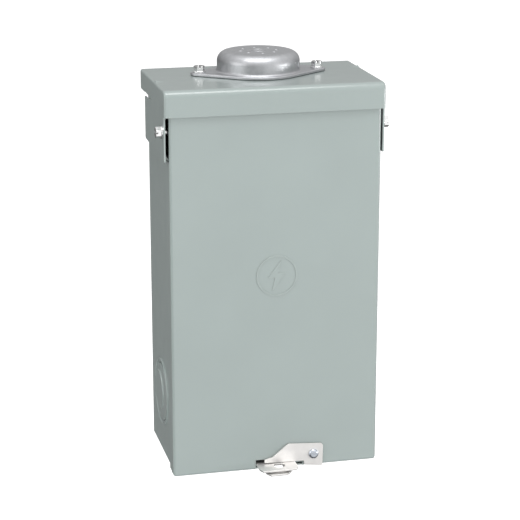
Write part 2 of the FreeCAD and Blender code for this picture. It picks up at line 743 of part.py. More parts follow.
def make_latch():
    """Latch plate on a shouldered rivet, with a thin spring washer behind it."""
    spot = ("latch_pivot_across", "latch_pivot_height")
    back = "(door_front - latch_gap)"
    face = f"({back} - latch_thick)"
    low_left = "(latch_foot_low + latch_slope)"
    top_right = "(latch_top - latch_slope)"
    plate = prism("XZ", (("latch_left", "latch_arm_low + 2.8"), ("latch_left", "latch_arm_low"),
                         ("latch_foot_left", "latch_arm_low - 0.8"), ("latch_foot_left", low_left),
                         ("latch_right - 0.4", "latch_foot_low"), ("latch_right", top_right),
                         ("latch_top_left", "latch_top"), ("latch_top_left - 2", "latch_top - 0.9"),
                         ("latch_left + 7", "latch_arm_low + 4.6")), (face, back))
    right, top = size("latch_right"), size("latch_top") - size("latch_slope")
    low, slope = size("latch_foot_low"), size("latch_slope")
    plate = rounded(plate, (2.6, straight("y", x=(right,), z=(top,))),
                    (1.2, straight("y", x=(right - 0.4, size("latch_foot_left")), z=(low, low + slope))))
    keep("latch_plate", cut(plate, rod("Y", spot, (f"{face} - 1", f"{back} + 1"), "rivet_shank + 0.1")))
    washer = cut(rod("Y", spot, ("door_front - washer_thick", "door_front"), "washer_diameter"),
                 rod("Y", spot, ("door_front - 1", "door_front + 1"), "rivet_shank"))
    keep("latch_spring_washer", washer)
    head_back = f"({face} - 0.1)"
    head = rod("Y", spot, (f"{head_back} - rivet_rise", head_back), "rivet_head")
    rim = size("door_front") - size("latch_gap") - size("latch_thick") - 0.1 - size("rivet_rise")
    head = rounded(head, (1.9, lambda edge: edge.Curve.TypeId == "Part::GeomCircle"
                          and abs(edge.CenterOfMass.y - rim) < 0.01))
    shank = rod("Y", spot, (head_back, "door_front + skin"), "rivet_shank")
    tail = rod("Y", spot, ("door_front + skin", "door_front + skin + 1.2"), "rivet_head - 1")
    keep("latch_rivet", fuse(head, shank, tail))


def make_interior_pan():
    """Galvanized pan on four posts, with the hook rail for the breakers' outer ends."""
    pan = box(("-pan_half", "pan_half"), ("pan_face", "pan_face + pan_sheet"), ("-pan_reach", "pan_reach"))
    flanges = []
    for side in BOTH_SIDES:
        ends = (f"{side} * (pan_half - pan_sheet)", f"{side} * pan_half")
        flanges.append(box(ends if side > 0 else ends[::-1], ("pan_face", "pan_face + 7"),
                           ("-pan_reach", "pan_reach")))
    posts, screws, holes = [], [], []
    for across in BOTH_SIDES:
        for level in BOTH_SIDES:
            spot = (f"{across} * post_across", f"{level} * post_height")
            hole = rod("Y", spot, ("pan_face - 1", "-box_sheet"), "screw_shank - 0.8")
            holes.append(hole)
            posts.append(cut(rod("Y", spot, ("pan_face + pan_sheet", "-box_sheet"), 9), hole))
            screws.append(pan_screw(spot[0], "pan_face", spot[1], "Y", 9, "screw_shank - 0.8", 8))
    keep("interior_pan", cut(fuse(pan, *flanges), *holes))
    keep("pan_posts", group(*posts))
    keep("pan_screws", group(*screws))
    run = ("-rail_half", "rail_half")
    foot = box(("rail_left", "rail_right"), ("pan_face - pan_sheet", "pan_face"), run)
    web = box(("rail_right - pan_sheet", "rail_right"), ("breaker_foot - rail_reach", "pan_face"), run)
    keep("breaker_hook_rail", fuse(foot, web))


def pole_height(index):
    return f"(first_pole - {index} * pole_pitch)"


def make_bus():
    """Moulded insulator, and two line buses whose stabs take turns down the column."""
    keep("bus_insulator", box(("insulator_left", "insulator_right"), ("bus_rear", "pan_face"),
                              ("insulator_low", "insulator_high")))
    front = "(bus_rear - bus_thick)"
    for name, across, poles in (("a", "bus_left", (0, 2, 4)), ("b", "bus_right", (1, 3, 5))):
        pieces = [box((f"{across} - bus_width / 2", f"{across} + bus_width / 2"), (front, "bus_rear"),
                      ("bus_low", "bus_high"))]
        for pole in poles:
            height = pole_height(pole)
            stab = ("stab_across - stab_half", "stab_across + stab_half")
            reach = ("bus_left", stab[1]) if name == "a" else (stab[0], "bus_right")
            pieces.append(box(reach, (front, "bus_rear"), (f"{height} - stab_arm / 2", f"{height} + stab_arm / 2")))
            pieces.append(box(stab, (f"{front} - stab_reach", front),
                              (f"{height} - stab_thick / 2", f"{height} + stab_thick / 2")))
        keep("line_bus_" + name, fuse(*pieces))
        keep("line_lug_" + name, wire_lug(across, front, "lug_low", "lug_high", "lug_screw_height"))
    screws = [lug_screw(across, front, "lug_screw_height") for across in ("bus_left", "bus_right")]
    keep("line_lug_screws", group(*screws))


def wire_lug(across, rear, low, high, screw_height):
    """Lug block with a vertical wire hole and a threaded hole for its screw."""
    lug = box((f"{across} - lug_width / 2", f"{across} + lug_width / 2"), (f"{rear} - lug_reach", rear),
              (low, high))
    wire = rod("Z", (across, f"{rear} - lug_wire_depth"), (f"{low} - 1", f"{high} + 1"), "lug_wire")
    thread = rod("Y", (across, screw_height), (f"{rear} - lug_reach - 1", f"{rear} - lug_wire_depth"), "lug_screw")
    return cut(lug, wire, thread)


def lug_screw(across, rear, height):
    """Hollow hex set screw of a lug."""
    face = f"{rear} - lug_reach - 0.6"
    key = prism("XZ", hexagon_corners(across, height, "lug_key / 2"), (f"{face} - 1", f"{face} + 3.6"))
    return cut(rod("Y", (across, height), (face, f"{rear} - 11"), "lug_screw"), key)


def hexagon_corners(across, height, radius):
    angles = [math.radians(60 * step) for step in range(6)]
    return [(f"{across} + {radius} * {math.cos(a)}", f"{height} + {radius} * {math.sin(a)}") for a in angles]


def breaker_profile():
    """Side view of a breaker: stab end on the right, wire terminal on the left."""
    return (("breaker_half", "breaker_foot"), ("breaker_half", "breaker_corner_depth"),
            ("breaker_half - 6", "breaker_shoulder"),
            ("breaker_nose", "breaker_shoulder"), ("breaker_nose", "breaker_face"),
            ("-breaker_nose", "breaker_face"), ("-breaker_nose", "breaker_shoulder"),
            ("-breaker_nose - 4", "breaker_shoulder"), ("-breaker_nose - 4", "breaker_terminal_depth"),
            ("-breaker_half", "breaker_terminal_depth"), ("-breaker_half", "breaker_foot"))


def make_breaker(name, poles):
    """Plug-on breaker: case, jaw clips on the stabs, wire terminals and one handle."""
    top = f"({pole_height(poles[0])} + pole_pitch / 2 - breaker_gap / 2)"
    bottom = f"({pole_height(poles[-1])} - pole_pitch / 2 + breaker_gap / 2)"
    case = prism("XY", breaker_profile(), (bottom, top))
    tools = [box((-32.4, -29), ("breaker_foot - 7", "breaker_foot + 1"), (f"{bottom} - 1", f"{top} + 1"))]
    clips, terminals, drums = [], [], []
    for pole in poles:
        height = pole_height(pole)
        tools.append(box(("stab_across - 8", "stab_across + 8"), ("breaker_foot - 16", "breaker_foot + 1"),
                         (f"{height} - 4", f"{height} + 4")))
        drum_span = (f"{height} - handle_width / 2", f"{height} + handle_width / 2")
        slack_span = (f"{height} - handle_width / 2 - 0.3", f"{height} + handle_width / 2 + 0.3")
        pivot = (0, "handle_pivot_depth")
        tools.append(rod("Z", pivot, slack_span, "2 * handle_radius + 0.6"))
        tools.append(box((-8.3, 8.3), ("breaker_face - 1", "handle_pivot_depth"), slack_span))
        drums.append(rod("Z", pivot, drum_span, "2 * handle_radius"))
        paddle = box(("-handle_thick / 2", "handle_thick / 2"), ("-handle_reach", "-handle_radius / 2"),
                     ("-handle_width / 2", "handle_width / 2"))
        paddle = rounded(paddle, (1.2, straight("z", y=(-size("handle_reach"),))))
        lean = FreeCAD.Rotation(FreeCAD.Vector(0, 0, 1), size("handle_tilt"))
        drums.append(place(group(paddle), 0, "handle_pivot_depth", height, turn=lean))
        jaw = ("stab_across - stab_half", "stab_across + stab_half")
        jaw_half = "(jaw_gap / 2 + jaw_thick)"
        for side in BOTH_SIDES:
            ends = (f"{height} + {side} * jaw_gap / 2", f"{height} + {side} * {jaw_half}")
            clips.append(box(jaw, ("breaker_foot - jaw_reach", "breaker_foot - 1"),
                             ends if side > 0 else ends[::-1]))
        clips.append(box(jaw, ("breaker_foot - jaw_reach - 1.5", "breaker_foot - jaw_reach"),
                         (f"{height} - {jaw_half}", f"{height} + {jaw_half}")))
        block = box(("-breaker_half + 0.5", "-breaker_nose - 5.2"), ("terminal_block", "breaker_terminal_depth"),
                    (f"{height} - 5.5", f"{height} + 5.5"))
        thread = rod("Y", ("terminal_across", height), ("terminal_block - 1", "breaker_terminal_depth + 1"),
                     "terminal_screw")
        terminals.append(cut(block, thread))
        terminals.append(pan_screw("terminal_across", "terminal_block", height, "Y", 5, "terminal_screw", 8.4))
    if len(poles) > 1:
        first, last = pole_height(poles[-1]), pole_height(poles[0])
        tie = box(("-handle_thick / 2", "handle_thick / 2"), ("-handle_reach", "-handle_reach + 5"),
                  (f"{first} - {last}", 0))
        drums.append(place(group(tie), 0, "handle_pivot_depth", last,
                           turn=FreeCAD.Rotation(FreeCAD.Vector(0, 0, 1), size("handle_tilt"))))
    keep(name + "_case", cut(case, *tools))
    keep(name + "_jaw_clips", fuse(*clips))
    keep(name + "_terminals", group(*terminals))
    keep(name + "_handle", fuse(*drums))


def terminal_bar(name, across, rear, low, high, holes, extra):
    """Aluminium terminal bar with cross holes for wires and a screw over each one."""
    body = doc.addObject("PartDesign::Body", "bar_stock")
    front = f"({rear} - bar_size)"
    left, right = f"({across} - bar_size / 2)", f"({across} + bar_size / 2)"
    sketch = outline(body, "XY", ((left, rear), (right, rear), (right, front), (left, front)), low)
    pad = body.newObject("PartDesign::Pad", "pad")
    pad.Profile = sketch
    bind(pad, "Length", f"({high}) - ({low})")
    screws, tools = [], []
    for index in range(holes):
        height = f"({low} + 8 + {index} * bar_screw_pitch)"
        tools.append(rod("X", (f"{rear} - bar_size / 2", height), (f"{left} - 1", f"{right} + 1"), 4.6))
        tools.append(rod("Y", (across, height), (f"{front} - 1", f"{rear} - bar_size / 2"), 4))
        screws.append(pan_screw(across, front, height, "Y", 2.4, 4, 6.4, rise=1.8))
    keep(name, cut(body, *tools, *extra))
    keep(name + "_screws", group(*screws))


def make_terminal_bars():
    """Neutral bar on insulating feet, ground bar on the back, and the bonding parts."""
    feet = []
    for height in (-52, 46):
        feet.append(box(("neutral_across - 6", "neutral_across + 6"), ("neutral_rear", "-box_sheet"),
                        (height - 7, height + 7)))
    keep("neutral_bar_feet", group(*[rounded(foot, (1.5, straight("y"))) for foot in feet]))
    terminal_bar("neutral_bar", "neutral_across", "neutral_rear", "neutral_low", "neutral_high", 12, [])
    bar_front = "(neutral_rear - bar_size)"
    lug = wire_lug("neutral_across", bar_front, "neutral_lug_low", "neutral_lug_high", "neutral_lug_screw")
    keep("neutral_lug", lug)
    keep("neutral_lug_screw", lug_screw("neutral_across", bar_front, "neutral_lug_screw"))
    strap_width = ("neutral_across - bar_size / 2", "neutral_across + bar_size / 2")
    strap_back = "-box_sheet - strap_thick"
    strap = fuse(box(strap_width, (strap_back, "-box_sheet"), ("strap_low", "neutral_low")),
                 box(strap_width, (bar_front, "-box_sheet"), ("neutral_low - strap_thick", "neutral_low")))
    screw_height = "strap_low + 6"
    keep("bonding_strap", cut(strap, rod("Y", ("neutral_across", screw_height), (-4, 0), 4)))
    keep("bonding_screw", pan_screw("neutral_across", strap_back, screw_height, "Y", "strap_thick", 4, 8))
    mounting = [rod("Y", ("ground_across", height), (-30, 0), 4) for height in (-64, 36)]
    terminal_bar("ground_bar", "ground_across", "-box_sheet - 3", "ground_low", "ground_high", 8, mounting)


def make_deadfront():
    """Inner cover over the live parts, its brackets, screws and blank fillers."""
    opening = "3 * pole_pitch"
    plate = box(("-deadfront_half", "deadfront_half"), ("deadfront_front", "deadfront_front + box_sheet"),
                ("deadfront_bottom", "deadfront_top"))
    pieces = [plate]
    for low, high in (("deadfront_bottom", "deadfront_bottom + box_sheet"),
                      ("deadfront_top - box_sheet", "deadfront_top")):
        pieces.append(box(("-deadfront_half", "deadfront_half"), ("deadfront_front", "deadfront_front + 12"),
                          (low, high)))
    tools = [box(("-breaker_nose - 0.4", "breaker_nose + 0.4"), ("deadfront_front - 1", "deadfront_front + 3"),
                 (f"-({opening}) - 0.2", f"{opening} + 0.2"))]
    brackets, screws = [], []
    for side in BOTH_SIDES:
        for height in ("cover_screw_high", "cover_screw_low"):
            spot = (f"{side} * cover_screw_across", height)
            hole = rod("Y", spot, ("deadfront_front - 1", "deadfront_front + 6"), 4)
            tools.append(hole)
            wall = "(box_half - box_sheet)"
            leg_ends = (f"{side} * ({wall} - box_sheet)", f"{side} * {wall}")
            tab_ends = (f"{side} * (cover_screw_across - 6)", f"{side} * {wall}")
            rear = "deadfront_front + 2 * box_sheet"
            leg = box(leg_ends if side > 0 else leg_ends[::-1], ("deadfront_front - 10", rear),
                      (f"{height} - 9", f"{height} + 9"))
            tab = box(tab_ends if side > 0 else tab_ends[::-1], ("deadfront_front + box_sheet", rear),
                      (f"{height} - 9", f"{height} + 9"))
            brackets.append(cut(fuse(leg, tab), hole))
            screws.append(pan_screw(spot[0], "deadfront_front", spot[1], "Y", 6, 4, 9))
    keep("deadfront_cover", cut(fuse(*pieces), *tools))
    keep("deadfront_brackets", group(*brackets))
    keep("deadfront_screws", group(*screws))
    fillers = []
    for pole in (4, 5):
        height = pole_height(pole)
        face = box(("-breaker_nose", "breaker_nose"), ("deadfront_front - 2", "deadfront_front"),
                   (f"{height} - 9.3", f"{height} + 9.3"))
        plug = box(("-breaker_nose", "breaker_nose"), ("deadfront_front", "deadfront_front + 5"),
                   (f"{height} - 8.6", f"{height} + 8.6"))
        hollow = box(("-breaker_nose + 2", "breaker_nose - 2"), ("deadfront_front", "deadfront_front + 6"),
                     (f"{height} - 6.6", f"{height} + 6.6"))
        fillers.append(cut(fuse(face, plug), hollow))
    keep("deadfront_fillers", group(*fillers))


make_enclosure_wrapper()
make_enclosure_top_wall()
make_enclosure_bottom_wall()
make_top_hood()
make_hub()
make_hinge()
make_hasp()
make_door()
make_latch()
make_interior_pan()
make_bus()
make_breaker("main_breaker", (0, 1))
make_breaker("branch_breaker_a", (2,))
make_breaker("branch_breaker_b", (3,))
make_terminal_bars()
make_deadfront()

doc.recompute()
failed = [f.Label for f in doc.Objects if "Invalid" in f.State or "Error" in f.State]
for feature in subparts:
    if feature.Shape.isNull() or not feature.Shape.isValid():
        failed.append(feature.Label + " shape")
if failed:
    raise RuntimeError("failed objects: " + ", ".join(failed))

os.makedirs("parts", exist_ok=True)
for feature in subparts:
    feature.Shape.exportStep(f"parts/{feature.Label}.step")
    print(f"{feature.Label:28s} solids {len(feature.Shape.Solids)}  volume {feature.Shape.Volume:.0f}")
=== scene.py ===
import json
import math

import bmesh
import bpy
from mathutils import Matrix, Vector


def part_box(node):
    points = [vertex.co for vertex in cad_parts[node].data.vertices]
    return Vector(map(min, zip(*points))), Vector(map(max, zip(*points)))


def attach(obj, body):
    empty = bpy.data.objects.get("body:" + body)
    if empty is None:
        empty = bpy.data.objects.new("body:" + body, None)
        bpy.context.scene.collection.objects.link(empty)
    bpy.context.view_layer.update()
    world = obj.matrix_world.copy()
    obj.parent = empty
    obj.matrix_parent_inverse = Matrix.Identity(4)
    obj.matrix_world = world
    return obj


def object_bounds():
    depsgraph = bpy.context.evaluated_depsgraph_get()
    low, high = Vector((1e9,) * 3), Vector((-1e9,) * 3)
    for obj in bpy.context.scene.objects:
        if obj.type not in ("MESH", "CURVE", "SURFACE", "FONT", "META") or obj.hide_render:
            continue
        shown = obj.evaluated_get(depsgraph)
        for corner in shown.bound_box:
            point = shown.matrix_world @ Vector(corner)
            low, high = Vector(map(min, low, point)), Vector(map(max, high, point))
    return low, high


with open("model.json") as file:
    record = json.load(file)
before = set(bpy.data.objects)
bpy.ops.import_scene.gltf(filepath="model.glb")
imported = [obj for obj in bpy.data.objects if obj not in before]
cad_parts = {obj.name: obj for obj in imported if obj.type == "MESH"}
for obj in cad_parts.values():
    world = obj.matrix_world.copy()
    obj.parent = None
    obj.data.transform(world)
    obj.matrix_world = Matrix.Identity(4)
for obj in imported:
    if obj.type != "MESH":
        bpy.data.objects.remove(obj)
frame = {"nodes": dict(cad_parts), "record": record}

# Looks of an outdoor residential load center, in metres and the frame's own axes: the door faces
# -Y, and +Z is up.

NODES = frame["nodes"]
CAD_LOW, CAD_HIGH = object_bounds()
MM = 0.001


# ---------------------------------------------------------------- node helpers

def new_material(name):
    """Material with a Principled shader; returns the material, its node tree and the shader."""
    material = bpy.data.materials.new(name)
    material.use_nodes = True
    tree = material.node_tree
    tree.nodes.clear()
    output = tree.nodes.new("ShaderNodeOutputMaterial")
    shader = tree.nodes.new("ShaderNodeBsdfPrincipled")
    tree.links.new(shader.outputs["BSDF"], output.inputs["Surface"])
    return material, tree, shader


def node(tree, kind, **settings):
    """Shader node, each setting put on the node itself or else on its input of that name."""
    made = tree.nodes.new("ShaderNode" + kind)
    for key, value in settings.items():
        if hasattr(made, key):
            setattr(made, key, value)
        else:
            made.inputs[key.replace("_", " ")].default_value = value
    return made


def object_point(tree, stretch=(1, 1, 1)):
    """Object coordinates, which are the frame's metres on every piece, optionally stretched."""
    coordinates = tree.nodes.new("ShaderNodeTexCoord")
    mapping = tree.nodes.new("ShaderNodeMapping")
    mapping.inputs["Scale"].default_value = stretch
    tree.links.new(coordinates.outputs["Object"], mapping.inputs["Vector"])
    return mapping.outputs["Vector"]


def noise(tree, point, size, detail=2.0, rough=0.5):
    """Noise whose features are about one size across, in metres."""
    texture = node(tree, "TexNoise", Scale=1.0 / size, Detail=detail, Roughness=rough)
    tree.links.new(point, texture.inputs["Vector"])
    return texture.outputs["Fac"]


def spread(tree, value, low, high, start=0.3, end=0.7):
    """Remap a 0 to 1 texture value to a range."""
    remap = tree.nodes.new("ShaderNodeMapRange")
    remap.inputs["From Min"].default_value = start
    remap.inputs["From Max"].default_value = end
    remap.inputs["To Min"].default_value = low
    remap.inputs["To Max"].default_value = high
    tree.links.new(value, remap.inputs["Value"])
    return remap.outputs["Result"]


def scaled(colour, factor):
    """Colour made darker or lighter by a factor."""
    return tuple(c * factor for c in colour)


def blend_colour(tree, factor, first, second):
    """Mix of two colours, each a tuple or a socket, by a factor from 0 to 1."""
    mix = tree.nodes.new("ShaderNodeMix")
    mix.data_type = "RGBA"
    tree.links.new(factor, mix.inputs["Factor"])
    for socket, colour in zip((mix.inputs["A"], mix.inputs["B"]), (first, second)):
        if isinstance(colour, tuple):
            socket.default_value = (*colour, 1.0)
        else:
            tree.links.new(colour, socket)
    return mix.outputs["Result"]


def bump(tree, shader, height, depth):
    """Relief on the shader's normal from a 0 to 1 height, depth metres deep."""
    made = node(tree, "Bump", Strength=1.0, Distance=depth)
    tree.links.new(height, made.inputs["Height"])
    tree.links.new(made.outputs["Normal"], shader.inputs["Normal"])


def edge_mask(tree, radius):
    """1 near sharp edges and 0 on flat faces."""
    soft = node(tree, "Bevel", samples=4, Radius=radius)
    geometry = tree.nodes.new("ShaderNodeNewGeometry")
    dot = node(tree, "VectorMath", operation="DOT_PRODUCT")
    tree.links.new(soft.outputs["Normal"], dot.inputs[0])
    tree.links.new(geometry.outputs["Normal"], dot.inputs[1])
    return spread(tree, dot.outputs["Value"], low=1.0, high=0.0, start=0.80, end=0.995)


# ---------------------------------------------------------------- materials

def paint(name, colour, edge_wear_and_highlight_colour, gloss=0.30, peel=0.02 * MM):
    """Baked enamel on sheet steel: orange peel, faint clouding, edges paler for thin paint and a
    painted highlight.
    """
    material, tree, shader = new_material(name)
    point = object_point(tree)
    cloud = spread(tree, noise(tree, point, size=60 * MM), 0.0, 1.0, start=0.1, end=0.9)
    clouded = blend_colour(tree, cloud, scaled(colour, 0.955), scaled(colour, 1.03))
    rub_and_highlight_patches = spread(tree, noise(tree, point, size=4 * MM, detail=4, rough=0.7), 0.15, 0.6)
    # edges paler: partly thinner paint, partly a painted highlight standing in for light caught
    # on edges
    edge_wear_and_highlight_mask = node(tree, "Math", operation="MULTIPLY")
    tree.links.new(edge_mask(tree, radius=0.7 * MM), edge_wear_and_highlight_mask.inputs[0])
    tree.links.new(rub_and_highlight_patches, edge_wear_and_highlight_mask.inputs[1])
    body = blend_colour(tree, edge_wear_and_highlight_mask.outputs["Value"], clouded, edge_wear_and_highlight_colour)
    sheen = noise(tree, point, size=18 * MM)
    roughness = spread(tree, sheen, gloss - 0.04, gloss + 0.05, start=0.0, end=1.0)
    tree.links.new(body, shader.inputs["Base Color"])
    tree.links.new(roughness, shader.inputs["Roughness"])
    bump(tree, shader, noise(tree, point, size=1.6 * MM), peel)
    shader.inputs["Coat Weight"].default_value = 0.8
    shader.inputs["Coat Roughness"].default_value = 0.14
    return material


def metal(name, colour, dark, rough, grain=(1, 1, 1), spangle=0.0, tone_size=12 * MM,
          dent=0.01 * MM, scratch_size=0.6 * MM, metallic=1.0):
    """Bare metal: tone patches, optional spangle crystals and a fine grain. A metallic value
    under 1 is an oxidised surface."""
    material, tree, shader = new_material(name)
    point = object_point(tree)
    brushed = object_point(tree, grain)
    tone = spread(tree, noise(tree, point, tone_size, detail=4, rough=0.6), 0.0, 1.0)
    colour_out = blend_colour(tree, tone, dark, colour)
    scratches = noise(tree, brushed, scratch_size, detail=3, rough=0.65)
    roughness = spread(tree, scratches, rough - 0.08, rough + 0.10)
    if spangle:
        crystals = node(tree, "TexVoronoi", Scale=1.0 / spangle, feature="F1")
        tree.links.new(point, crystals.inputs["Vector"])
        tint = spread(tree, crystals.outputs["Color"], 0.0, 0.55, start=0.0, end=1.0)
        colour_out = blend_colour(tree, tint, colour_out, scaled(colour, 0.88))
    tree.links.new(colour_out, shader.inputs["Base Color"])
    tree.links.new(roughness, shader.inputs["Roughness"])
    shader.inputs["Metallic"].default_value = metallic
    bump(tree, shader, noise(tree, brushed, scratch_size, detail=3, rough=0.6), dent)
    return material


def stripes(tree, point, axis, pitch, width):
    """1 on thin lines across one axis, at a pitch in metres, and 0 between them."""
    split = tree.nodes.new("ShaderNodeSeparateXYZ")
    tree.links.new(point, split.inputs["Vector"])
    wrapped = node(tree, "Math", operation="WRAP")
    tree.links.new(split.outputs[axis], wrapped.inputs[0])
    wrapped.inputs[1].default_value = pitch
    wrapped.inputs[2].default_value = 0.0
    line = node(tree, "Math", operation="LESS_THAN")
    tree.links.new(wrapped.outputs["Value"], line.inputs[0])
    line.inputs[1].default_value = width
    return line.outputs["Value"]


ROW_PITCH = 12.5 * MM
COLUMN_PITCH = 27.5 * MM
RULE_WIDTH = 0.5 * MM


def ruled_card(name, colour, ink):
    """Coated card printed with the blank rows and columns of a circuit directory."""
    material, tree, shader = new_material(name)
    point = object_point(tree)
    fibre = noise(tree, point, size=20 * MM, detail=4, rough=0.6)
    tone = spread(tree, fibre, 0.0, 1.0, start=0.1, end=0.9)
    sheet = blend_colour(tree, tone, scaled(colour, 0.93), colour)
    both = node(tree, "Math", operation="MAXIMUM")
    tree.links.new(stripes(tree, point, "Z", ROW_PITCH, RULE_WIDTH), both.inputs[0])
    tree.links.new(stripes(tree, point, "X", COLUMN_PITCH, RULE_WIDTH), both.inputs[1])
    printed = blend_colour(tree, both.outputs["Value"], sheet, ink)
    coating = noise(tree, point, size=8 * MM, detail=3)
    roughness = spread(tree, coating, 0.42, 0.58, start=0.0, end=1.0)
    tree.links.new(printed, shader.inputs["Base Color"])
    tree.links.new(roughness, shader.inputs["Roughness"])
    bump(tree, shader, noise(tree, point, size=1.2 * MM), depth=0.01 * MM)
    return material


def plastic(name, colour, rough, grain_depth=0.03 * MM):
    """Moulded plastic: fine spark-eroded grain, scuffs and slightly paler edges."""
    material, tree, shader = new_material(name)
    point = object_point(tree)
    scuff = spread(tree, noise(tree, point, size=11 * MM, detail=5, rough=0.7), 0.0, 1.0)
    body = blend_colour(tree, scuff, scaled(colour, 0.86), scaled(colour, 1.12))
    edges = spread(tree, edge_mask(tree, radius=0.4 * MM), 0.0, 0.35, start=0.0, end=1.0)
    pale = tuple(min(1.0, c * 1.7 + 0.02) for c in colour)
    patches = noise(tree, point, size=6 * MM, detail=4)
    roughness = spread(tree, patches, rough - 0.06, rough + 0.08)
    tree.links.new(blend_colour(tree, edges, body, pale), shader.inputs["Base Color"])
    tree.links.new(roughness, shader.inputs["Roughness"])
    bump(tree, shader, noise(tree, point, size=0.5 * MM), grain_depth)
    return material


ENAMEL = (0.253, 0.297, 0.287)
MATERIALS = {
    # the third colour is the paler edge: thinner paint there plus a painted edge highlight
    "enclosure_paint": paint("enamel_grey_green", ENAMEL, (0.42, 0.46, 0.44)),
    "galvanized_steel": metal("galvanized", (0.94, 0.925, 0.905), (0.84, 0.825, 0.81), 0.50,
                              spangle=6 * MM, metallic=0.9),
    "zinc_fastener": metal("zinc_plate", (0.93, 0.93, 0.93), (0.80, 0.80, 0.80), 0.18,
                           tone_size=4 * MM),
    "cast_zinc": metal("cast_grey", (0.52, 0.525, 0.54), (0.43, 0.44, 0.455), 0.42,
                       tone_size=6 * MM, dent=0.04 * MM, scratch_size=1.1 * MM),
    "gasket_rubber": plastic("gasket_rubber", (0.035, 0.035, 0.036), 0.7),
    "rivet_steel": metal("rivet_steel", (0.66, 0.70, 0.76), (0.50, 0.54, 0.60), 0.30,
                         tone_size=2 * MM),
    "nylon": plastic("nylon", (0.62, 0.60, 0.55), 0.45),
    "bare_aluminium": metal("extruded_aluminium", (0.80, 0.81, 0.82), (0.68, 0.69, 0.70), 0.33,
                            grain=(1, 1, 0.04)),
    "tinned_bus": metal("tinned_bus", (0.74, 0.75, 0.76), (0.60, 0.61, 0.62), 0.30,
                        tone_size=8 * MM),
    "insulator_plastic": plastic("thermoset_dark", (0.055, 0.055, 0.06), 0.5),
    "breaker_plastic": plastic("thermoset_black", (0.022, 0.022, 0.024), 0.46),
    "handle_plastic": plastic("handle_black", (0.015, 0.015, 0.016), 0.30),
    "terminal_metal": metal("terminal_zinc", (0.80, 0.79, 0.75), (0.62, 0.60, 0.55), 0.30,
                            tone_size=3 * MM),
    "jaw_copper": metal("spring_copper", (0.90, 0.56, 0.36), (0.70, 0.38, 0.22), 0.26),
    "filler_plastic": plastic("filler_grey", (0.075, 0.075, 0.08), 0.48),
    "card_stock": ruled_card("card_stock", (0.80, 0.78, 0.71), (0.16, 0.18, 0.20)),
    "bonding_green": plastic("bonding_green", (0.02, 0.22, 0.06), 0.35),
}
SLOT_OF = {row["node"]: row["material_slot"] for row in frame["record"]["subparts"]}
FINISH_OF = {"latch_rivet": "rivet_steel"}    # looks different from the rest of its slot


def dress(piece, slot):
    """Give a piece one material."""
    piece.data.materials.clear()
    piece.data.materials.append(MATERIALS[slot])


# ---------------------------------------------------------------- CAD nodes

EDGE_WIDTH = {    # millimetres
    "top_hood": 0.35, "door_panel": 0.35, "enclosure_wrapper": 0.35, "hub_closing_plate": 0.3,
    "latch_plate": 0.3, "hasp_upper_leaf": 0.3, "hasp_lower_leaf": 0.3, "deadfront_cover": 0.35,
    "main_breaker_case": 0.5, "branch_breaker_a_case": 0.5, "branch_breaker_b_case": 0.5,
}
DEFAULT_EDGE = 0.15
EDGE_ANGLE = math.radians(40)
FLAT_ANGLE = math.radians(0.5)
WELD_DISTANCE = 0.01 * MM
AREA_WEIGHT = 100    # how far large faces decide the shading at their corners


def soften(piece, width):
    """Rounded edges and smooth shading on a CAD shape, by modifiers."""
    weld = piece.modifiers.new("weld", "WELD")
    weld.merge_threshold = WELD_DISTANCE
    flats = piece.modifiers.new("flats", "DECIMATE")    # one face for each flat side
    flats.decimate_type = "DISSOLVE"
    flats.angle_limit = FLAT_ANGLE
    edges = piece.modifiers.new("edges", "BEVEL")
    edges.width = width * MM
    edges.segments = 2
    edges.limit_method = "ANGLE"
    edges.angle_limit = EDGE_ANGLE
    edges.harden_normals = True
    shading = piece.modifiers.new("shading", "WEIGHTED_NORMAL")    # flat sides stay evenly lit
    shading.weight = AREA_WEIGHT


for name, piece in NODES.items():
    dress(piece, FINISH_OF.get(name, SLOT_OF[name]))
    soften(piece, EDGE_WIDTH.get(name, DEFAULT_EDGE))


# ---------------------------------------------------------------- pieces made here

KNOCKOUT_RADIUS = 25.15 * MM
KNOCKOUT_SLUG_RISE = 0.8 * MM
RIM_CLEARANCE = 2.8 * MM
RIM_WIDTH = 2.2 * MM
RIM_RISE = 1.0 * MM
POLE_PITCH = 19.05 * MM
POLE_COUNT = 6
NUMBER_ACROSS = 31 * MM
NUMBER_SIZE = 7.5 * MM
NUMBER_BOLDNESS = 0.12 * MM
INK_THICKNESS = 0.03 * MM


def add_piece(name, mesh, slot, body):
    """New piece from a bmesh, dressed and riding on a body."""
    data = bpy.data.meshes.new(name)
    mesh.to_mesh(data)
    mesh.free()
    for face in data.polygons:
        face.use_smooth = True
    piece = bpy.data.objects.new(name, data)
    bpy.context.scene.collection.objects.link(piece)
    dress(piece, slot)
    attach(piece, body)
    return piece


def bead_ring(radius, width, rise, segments=96, steps=8):
    """Half-round bead of revolution about Z, its flat side at height 0."""
    mesh = bmesh.new()
    arc = [math.pi * step / steps for step in range(steps + 1)]
    profile = [(radius + width / 2 * math.cos(a), rise * math.sin(a)) for a in arc]
    rings = []
    for step in range(segments):
        angle = 2 * math.pi * step / segments
        across, up = math.cos(angle), math.sin(angle)
        rings.append([mesh.verts.new((r * across, r * up, h)) for r, h in profile])
    for first, second in zip(rings, rings[1:] + rings[:1]):
        for i in range(len(profile)):
            j = (i + 1) % len(profile)
            mesh.faces.new((first[i], second[i], second[j], first[j]))
    bmesh.ops.recalc_face_normals(mesh, faces=mesh.faces)
    return mesh


